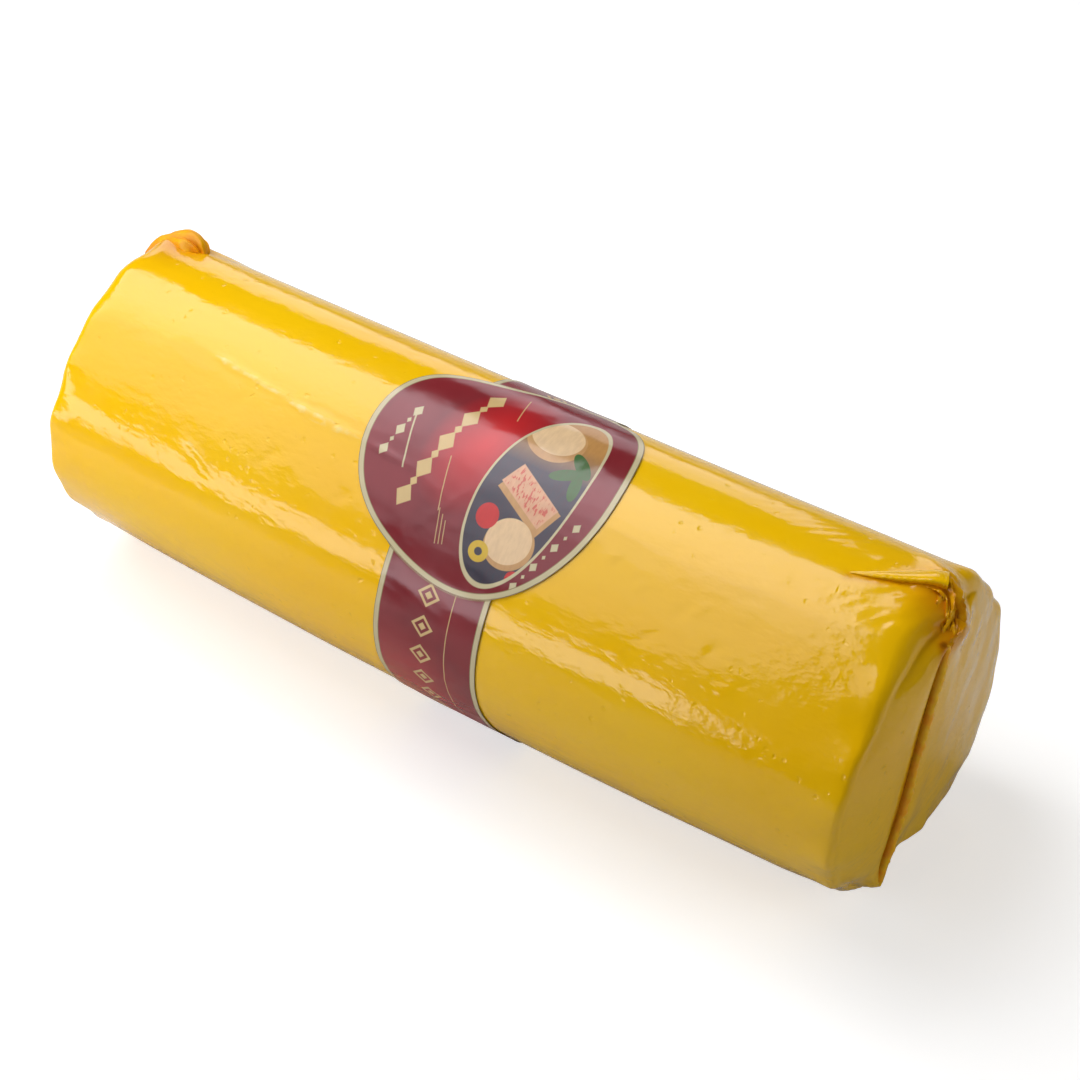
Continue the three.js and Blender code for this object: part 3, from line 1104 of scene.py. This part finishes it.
    # lozenges and thin rules
    marks = [
        (chain((-13.5, 45), (-1, -5), 9, (3.4, 4.4)), "gold"),
        (inside(slab((-0.5, 33), (0.16, 9.5), -14)), "gold"),
        (inside(slab((8.5, -4), (0.16, 6.5), -14)), "gold"),
        (inside(slab((-20.5, 24), (0.3, 10.5), -16)), "cream"),
        (chain((-28, 33), (-22.5, 12), 5, (1.9, 2.5)), "cream"),
        (inside(slab((3.6, 47), (0.14, 6), -14)), "gold"),
        (inside(slab((5.2, 47.6), (0.14, 5), -14)), "gold"),
        (inside(slab((6.8, 48.2), (0.14, 4), -14)), "gold"),
        (chain((52, 27), (37, 57), 7, (1.5, 1.9)), "cream"),
    ]
    for mask, name in marks:
        shade = paint(times(mask, onShield), name)

    # the band's own row of lozenges, all the way round, and the thin rule beside it
    pitch, halfLength, halfWidth = 11.6, 4.6, 4.8
    cell = minus(maths(tree, 'FRACT', per(plus(arc, 400), pitch)), 0.5)
    stretch = times(unsigned(cell), pitch / halfLength)
    row = times(minus(plus(stretch, per(unsigned(minus(x, 9.5)), halfWidth)), 1), 3.6)
    hollow = minus(unsigned(plus(row, 0.7)), 0.5)
    core = plus(row, 2.4)
    shade = paint(times(inside(maths(tree, 'MINIMUM', hollow, core)), offShield), "gold")
    rule = minus(unsigned(minus(x, 19.5)), 0.16)
    shade = paint(times(inside(rule), offShield), "gold")

    # border, with a thin line on each side of it
    for width, name in ((2.2, "outline"), (1.95, "cream"), (0.25, "outline")):
        shade = paint(inside(minus(depth, width)), name)
    foot = minus(unsigned(minus(shield, 0.25)), 0.25)
    shade = paint(times(inside(foot), 0.7), "outline")

    setSocket(tree, shader.inputs["Base Color"], shade)
    scuffs = noiseAt(tree, objectPlace, 80, 4)
    setSocket(tree, shader.inputs["Roughness"], remap(tree, scuffs, 0.3, 0.7, 0.12, 0.22))
    pebbles = noiseAt(tree, objectPlace, 260, 2)
    bump = addNode(tree, "ShaderNodeBump", {"Strength": 0.5, "Distance": 0.0001, "Height": pebbles})
    setSocket(tree, shader.inputs["Normal"], bump.outputs[0])
    return material


film = filmMaterial(filmFinish)
foldedFilm = foldMaterial(foldFinish, "amberFoldedFilm")
earFilm = foldMaterial(earFinish, "foldedEarFilm")
crimpedFilm = foldMaterial(finFinish, "crimpedSeamFilm")
glossyPrint = printMaterial(printColours)
print("materials mixed")


def dress(piece, material):
    piece.data.materials.clear()
    piece.data.materials.append(material)
    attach(piece, "root")


def markFoldTintAndShade(piece, places):  # how much amber tint of layered film, and how much painted shade in the seams and under the pleat, each point of the film gets
    foldTintAndShade = piece.data.attributes.new("foldTintAndShade", 'FLOAT', 'POINT')
    for vertex in piece.data.vertices:
        spot = vertex.co / mm
        value = 0
        for place, reach, depth in places:
            gap = (spot - Vector(place)).length
            if gap < 3 * reach:
                value = max(value, depth * math.exp(-(gap / reach) ** 2))
        foldTintAndShade.data[vertex.index].value = value


foldTintAndShadeMarks = [  # place, reach and depth: amber tint of layered film where it is bunched, with a little painted shade where deepest
    ((166, 3, 117), 11, 0.5),
    ((-158, 16, 118), 13, 0.5),
    ((171, -1, 109), 8, 0.6),
    ((-170, 16, 108), 9, 0.5),
]
for side in (1, -1):  # painted shade along the seams, on the side that each fin leans away from
    for spot in seamPath(side, 60):
        foldTintAndShadeMarks.append((spot - Vector((0, side * 1.1, 0)), 1.9, 1))
for index in range(24):  # painted shade along the front of the pleat, under its lip
    spot = pathPlace(nearPleat["path"], index / 23) + Vector((0, -1.2, 0))
    foldTintAndShadeMarks.append((spot, 1.6, 0.3 + index / 60))
markFoldTintAndShade(bar, foldTintAndShadeMarks)

dress(bar, film)
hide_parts("cheese_log")
dress(label, glossyPrint)
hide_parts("label")
ownFilm = {"nearSeamFin": crimpedFilm, "farSeamFin": crimpedFilm, "topPleat": film, "farEar": earFilm}
for piece in folds + bunched:
    dress(piece, ownFilm.get(piece.name, foldedFilm))
print("pieces dressed")


# floor and light

floorSettings = {
    "size": 8,  # metres
    "shade": (0.66, 0.66, 0.66, 1),
    "glow": 0.58,  # what the camera sees of the floor is overexposed
}


def makeFloor(settings):
    bpy.ops.mesh.primitive_plane_add(size=settings["size"])
    floor = bpy.context.object
    floor.name = "studioFloor"
    material, tree, shader = newMaterial("paleFloor")
    shader.inputs["Base Color"].default_value = settings["shade"]
    shader.inputs["Roughness"].default_value = 0.9
    shader.inputs["Emission Color"].default_value = (1, 1, 1, 1)
    seen = addNode(tree, "ShaderNodeLightPath").outputs["Is Camera Ray"]
    setSocket(tree, shader.inputs["Emission Strength"], maths(tree, 'MULTIPLY', seen, settings["glow"]))
    floor.data.materials.append(material)


makeFloor(floorSettings)

lightSettings = {
    "world": (0.04, 0.03),  # strength on surfaces and in reflections
    "panels": [  # name, centre, size, turn about X in degrees, radiance, lights surfaces; metres
        ("overheadBox", (-1.4, 0.04, 1.62), (2.24, 0.92), 0, 4.1, True),
        ("frontPanelTop", (-1.25, -0.517, 1.493), (2.06, 0.321), 52.6, 3.5, True),
        ("frontPanelHigh", (-1.2, -0.711, 1.239), (2.06, 0.321), 52.6, 2.6, False),
        ("frontPanelMiddle", (-1.18, -0.906, 0.985), (2.06, 0.321), 52.6, 1.8, False),
        ("frontPanelLow", (-1.25, -1.064, 0.778), (2.06, 0.203), 52.6, 1.4, False),
        ("frontStrip", (-1.17, -1.35, 0.31), (1.8, 0.3), 82, 3.7, False),
        ("backPanel", (-1.3, 1.5, 0.6), (1.76, 0.8), -90, 1.6, False),
    ],
    "tint": (1, 0.94, 1),  # of what the film mirrors
    "washes": [  # name, centre, size, radiance; these aren't seen in reflections
        ("leftWash", (-0.33, -0.36, 0.22), (0.3, 0.3), 3.0),
        ("topWash", (-0.32, 0.18, 0.78), (0.4, 0.4), 4.2),
        ("frontWash", (-0.3, -1.0, 0.6), (0.6, 0.4), 2.1),
        ("rightWash", (0.84, 0.2, 0.36), (0.5, 0.5), 2.0),
        ("backWash", (-0.3, 0.9, 0.7), (0.4, 0.4), 1.2),
    ],
    "aim": (-0.05, 0, 0.06),
}


def makeLights(settings):
    panels = []
    for name, centre, size, turn, radiance, lighting in settings["panels"]:
        turned = (math.radians(turn), 0, 0)
        panels.append((name, centre, size, turned, radiance, True))
        if lighting:
            panels.append((name + "Glow", centre, size, turned, radiance, False))
    for name, centre, size, radiance in settings["washes"]:
        look = (Vector(settings["aim"]) - Vector(centre)).to_track_quat('-Z', 'Y').to_euler()
        panels.append((name, centre, size, look, radiance, False))
    for name, centre, size, turn, radiance, mirrored in panels:
        bpy.ops.object.light_add(type='AREA', location=centre, rotation=turn)
        panel = bpy.context.object
        panel.name = name
        panel.data.shape = 'RECTANGLE'
        panel.data.size, panel.data.size_y = size
        panel.data.energy = radiance * math.pi * size[0] * size[1]
        panel.visible_glossy = mirrored
        panel.visible_diffuse = not mirrored
        if mirrored:
            panel.data.color = settings["tint"]
    world = bpy.data.worlds.new("studio")
    bpy.context.scene.world = world
    world.use_nodes = True
    tree = world.node_tree
    plain, mirrored = settings["world"]
    path = addNode(tree, "ShaderNodeLightPath")
    strength = remap(tree, path.outputs["Is Glossy Ray"], 0, 1, plain, mirrored)
    strength = maths(tree, 'ADD', strength, path.outputs["Is Camera Ray"])  # the backdrop is white
    setSocket(tree, tree.nodes["Background"].inputs["Strength"], strength)
    tree.nodes["Background"].inputs["Color"].default_value = (1, 1, 1, 1)


makeLights(lightSettings)
bpy.context.scene.view_settings.view_transform = 'Standard'
print("studio lit")
